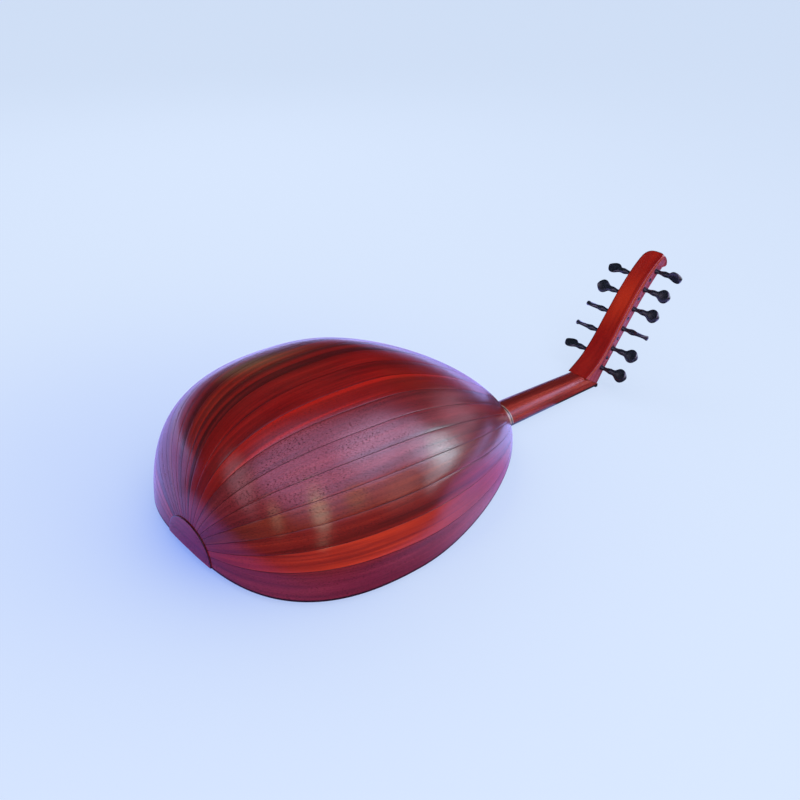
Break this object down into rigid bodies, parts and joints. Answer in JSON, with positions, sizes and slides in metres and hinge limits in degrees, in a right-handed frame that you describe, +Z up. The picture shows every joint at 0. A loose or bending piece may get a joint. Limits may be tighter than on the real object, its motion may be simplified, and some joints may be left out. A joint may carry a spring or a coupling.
{
  "type": "oud",
  "caption": "Short-necked fretless lute with a deep bowl of bent ribs, a bent-back pegbox and turning tapered pegs, lying on its strings' side.",
  "frame": {"origin": "middle of the bridge's top face, on which the oud rests face down", "axes": "+X from the bridge along the neck towards the nut and pegbox, +Y towards the treble pegs' side, +Z up, from the strings towards the back of the bowl"},
  "size_m": [0.808, 0.364, 0.1923],
  "materials": {
    "rib_01": "gloss varnish",
    "rib_02": "gloss varnish",
    "rib_03": "gloss varnish",
    "rib_04": "gloss varnish",
    "rib_05": "gloss varnish",
    "rib_06": "gloss varnish",
    "rib_07": "gloss varnish",
    "rib_08": "gloss varnish",
    "rib_09": "gloss varnish",
    "rib_10": "gloss varnish",
    "rib_11": "gloss varnish",
    "rib_12": "gloss varnish",
    "rib_13": "gloss varnish",
    "rib_14": "gloss varnish",
    "rib_15": "gloss varnish",
    "rib_16": "gloss varnish",
    "rib_17": "gloss varnish",
    "rib_18": "gloss varnish",
    "rib_19": "gloss varnish",
    "rib_20": "gloss varnish",
    "rib_21": "gloss varnish",
    "spruce": "bare, fine grain",
    "clasp": "gloss varnish",
    "rosette": "satin varnish",
    "ebony": "satin varnish",
    "rosewood": "gloss varnish",
    "horn": "satin",
    "redwood": "gloss varnish",
    "pinkwood": "gloss varnish",
    "string": "satin"
  },
  "bodies": {
    "oud": {"rib_01": "rib_01", "rib_02": "rib_02", "rib_03": "rib_03", "rib_04": "rib_04", "rib_05": "rib_05", "rib_06": "rib_06", "rib_07": "rib_07", "rib_08": "rib_08", "rib_09": "rib_09", "rib_10": "rib_10", "rib_11": "rib_11", "rib_12": "rib_12", "rib_13": "rib_13", "rib_14": "rib_14", "rib_15": "rib_15", "rib_16": "rib_16", "rib_17": "rib_17", "rib_18": "rib_18", "rib_19": "rib_19", "rib_20": "rib_20", "rib_21": "rib_21", "tail_block": "spruce", "neck_block": "spruce", "tail_clasp": "clasp", "soundboard": "spruce", "main_rosette": "rosette", "small_rosette_bass": "rosette", "small_rosette_treble": "rosette", "pickguard": "ebony", "bridge": "rosewood", "neck": "rosewood", "heel_ring": "ebony", "fingerboard": "ebony", "nut": "horn", "pegbox_back": "redwood", "pegbox_cheek_bass": "pinkwood", "pegbox_cheek_treble": "pinkwood", "pegbox_tip": "redwood", "string_01": "string", "string_02": "string", "string_03": "string", "string_04": "string", "string_05": "string", "string_06": "string", "string_07": "string", "string_08": "string", "string_09": "string", "string_10": "string", "string_11": "string"},
    "peg_01": {"peg_01": "ebony"},
    "peg_02": {"peg_02": "ebony"},
    "peg_03": {"peg_03": "ebony"},
    "peg_04": {"peg_04": "ebony"},
    "peg_05": {"peg_05": "ebony"},
    "peg_06": {"peg_06": "ebony"},
    "peg_07": {"peg_07": "ebony"},
    "peg_08": {"peg_08": "ebony"},
    "peg_09": {"peg_09": "ebony"},
    "peg_10": {"peg_10": "ebony"},
    "peg_11": {"peg_11": "ebony"}
  },
  "joints": [
    {"name": "peg_01_turn", "type": "hinge", "parent": "oud", "child": "peg_01", "pos_m": [0.59122, 0, 0.0299], "axis": [0, 1, 0], "continuous": true},
    {"name": "peg_02_turn", "type": "hinge", "parent": "oud", "child": "peg_02", "pos_m": [0.6021, 0, 0.0422], "axis": [0, 1, 0], "continuous": true},
    {"name": "peg_03_turn", "type": "hinge", "parent": "oud", "child": "peg_03", "pos_m": [0.61257, 0, 0.05483], "axis": [0, 1, 0], "continuous": true},
    {"name": "peg_04_turn", "type": "hinge", "parent": "oud", "child": "peg_04", "pos_m": [0.62253, 0, 0.06787], "axis": [0, 1, 0], "continuous": true},
    {"name": "peg_05_turn", "type": "hinge", "parent": "oud", "child": "peg_05", "pos_m": [0.63228, 0, 0.08107], "axis": [0, 1, 0], "continuous": true},
    {"name": "peg_06_turn", "type": "hinge", "parent": "oud", "child": "peg_06", "pos_m": [0.64211, 0, 0.0942], "axis": [0, 1, 0], "continuous": true},
    {"name": "peg_07_turn", "type": "hinge", "parent": "oud", "child": "peg_07", "pos_m": [0.65198, 0, 0.1073], "axis": [0, 1, 0], "continuous": true},
    {"name": "peg_08_turn", "type": "hinge", "parent": "oud", "child": "peg_08", "pos_m": [0.66211, 0, 0.1202], "axis": [0, 1, 0], "continuous": true},
    {"name": "peg_09_turn", "type": "hinge", "parent": "oud", "child": "peg_09", "pos_m": [0.67287, 0, 0.1326], "axis": [0, 1, 0], "continuous": true},
    {"name": "peg_10_turn", "type": "hinge", "parent": "oud", "child": "peg_10", "pos_m": [0.68419, 0, 0.14456], "axis": [0, 1, 0], "continuous": true},
    {"name": "peg_11_turn", "type": "hinge", "parent": "oud", "child": "peg_11", "pos_m": [0.69622, 0, 0.15595], "axis": [0, 1, 0], "continuous": true}
  ]
}
